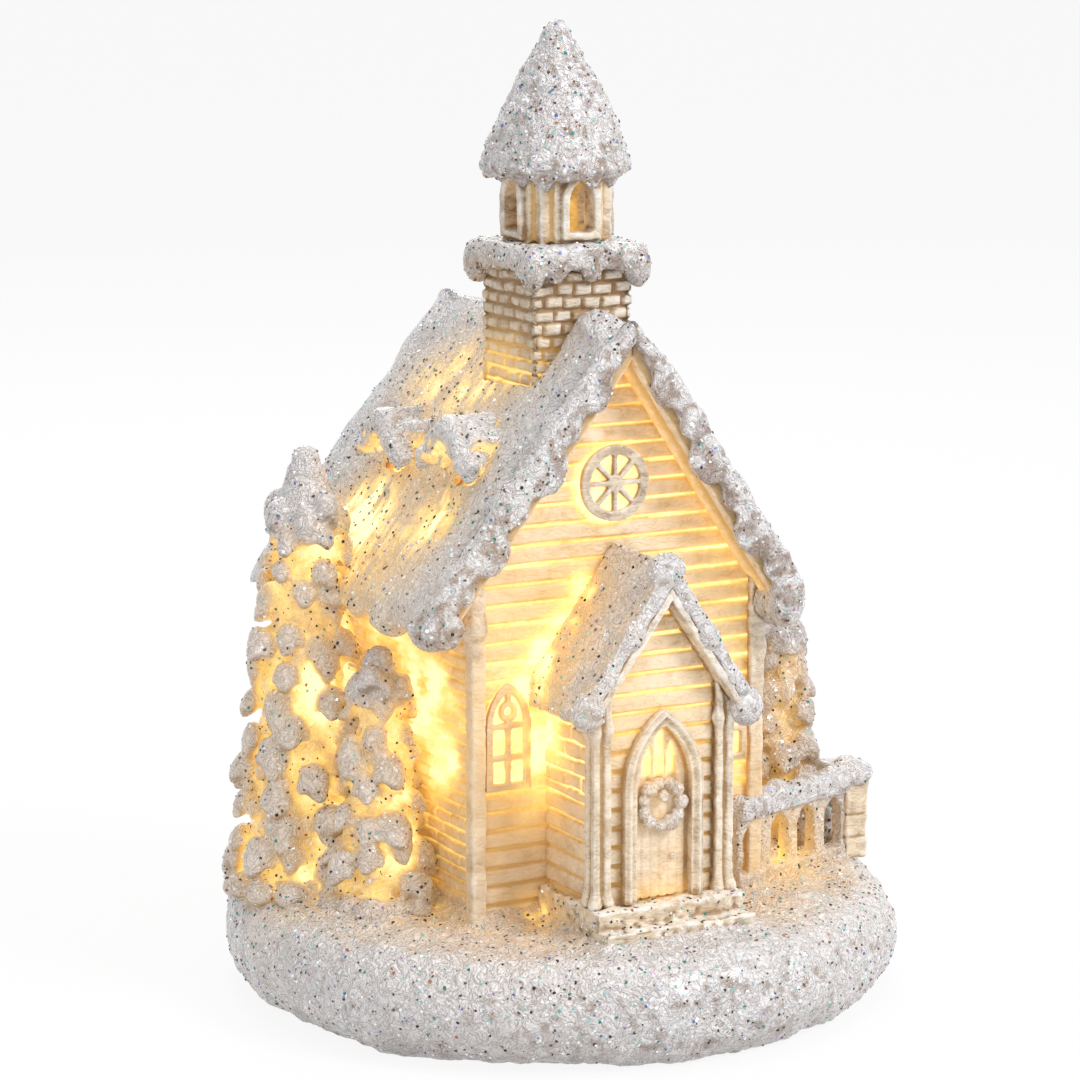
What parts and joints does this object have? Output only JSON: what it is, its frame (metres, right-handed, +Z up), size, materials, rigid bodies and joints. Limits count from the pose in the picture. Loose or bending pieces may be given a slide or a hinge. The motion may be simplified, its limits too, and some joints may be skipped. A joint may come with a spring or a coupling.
{
  "type": "lit village chapel ornament",
  "caption": "Snow-covered chapel ornament with a bell tower, porch, firs and balustrade on a round snow mound, lit from inside, with a battery compartment in the foot.",
  "frame": {"origin": "centre of the mound's round foot, on the table", "axes": "+Z up, +X to the viewer's right, +Y to the back; the porch faces -Y"},
  "size_m": [0.158, 0.158, 0.225],
  "materials": {
    "snow_crust": "rough white snow paste with fine glitter",
    "antiqued_cast": "cream cast body with a brown antiquing wash in the recesses",
    "cover_plastic": "matte moulded",
    "switch_plastic": "matte moulded",
    "mast_plastic": "matte moulded",
    "board_laminate": "white circuit board lacquer",
    "led_lens": "clear warm white lens",
    "screw_steel": "zinc plated",
    "contact_metal": "nickel plated",
    "cell_wrap": "plain shrink wrap, no print",
    "lead_jacket": "soft insulated wire"
  },
  "bodies": {
    "ornament": {"base_mound": "snow_crust", "roof_snow_left": "snow_crust", "roof_snow_right": "snow_crust", "tower_ledge": "snow_crust", "spire_cap": "snow_crust", "porch_snow_left": "snow_crust", "porch_snow_right": "snow_crust", "dormer_front": "snow_crust", "dormer_rear": "snow_crust", "balustrade_front": "snow_crust", "balustrade_return": "snow_crust", "corner_pier": "snow_crust", "tall_tree": "snow_crust", "small_tree": "snow_crust", "side_tree": "snow_crust", "front_wall": "antiqued_cast", "rear_wall": "antiqued_cast", "left_wall": "antiqued_cast", "right_wall": "antiqued_cast", "corner_post_front_left": "antiqued_cast", "corner_post_front_right": "antiqued_cast", "corner_post_rear_left": "antiqued_cast", "corner_post_rear_right": "antiqued_cast", "round_window": "antiqued_cast", "roof_left": "antiqued_cast", "roof_right": "antiqued_cast", "tower_shaft": "antiqued_cast", "belfry": "antiqued_cast", "porch_steps": "antiqued_cast", "porch_front_wall": "antiqued_cast", "porch_wall_left": "antiqued_cast", "porch_wall_right": "antiqued_cast", "porch_post_left": "antiqued_cast", "porch_post_right": "antiqued_cast", "porch_roof_left": "antiqued_cast", "porch_roof_right": "antiqued_cast", "door_surround": "antiqued_cast", "front_door": "antiqued_cast", "wreath": "antiqued_cast", "window_front_left": "antiqued_cast", "window_front_right": "antiqued_cast", "window_rear": "antiqued_cast", "window_right_front": "antiqued_cast", "window_right_rear": "antiqued_cast", "bottom_cover": "cover_plastic", "battery_box": "cover_plastic", "cover_screws": "screw_steel", "battery_cells": "cell_wrap", "plate_contacts": "contact_metal", "spring_contacts": "contact_metal", "switch_body": "switch_plastic", "switch_leads": "lead_jacket", "led_leads": "lead_jacket", "led_mast": "mast_plastic", "led_board": "board_laminate", "leds": "led_lens"},
    "battery_flap": {"battery_door": "cover_plastic"},
    "switch_slider": {"switch_knob": "switch_plastic"}
  },
  "joints": [
    {"name": "battery_flap_hinge", "type": "hinge", "parent": "ornament", "child": "battery_flap", "pos_m": [-0.0045, -0.00545, 0.002], "axis": [-1, 0, 0], "range_deg": [0, 85]},
    {"name": "switch_slide", "type": "slide", "parent": "ornament", "child": "switch_slider", "axis": [1, 0, 0], "range_m": [-0.003, 0]}
  ]
}
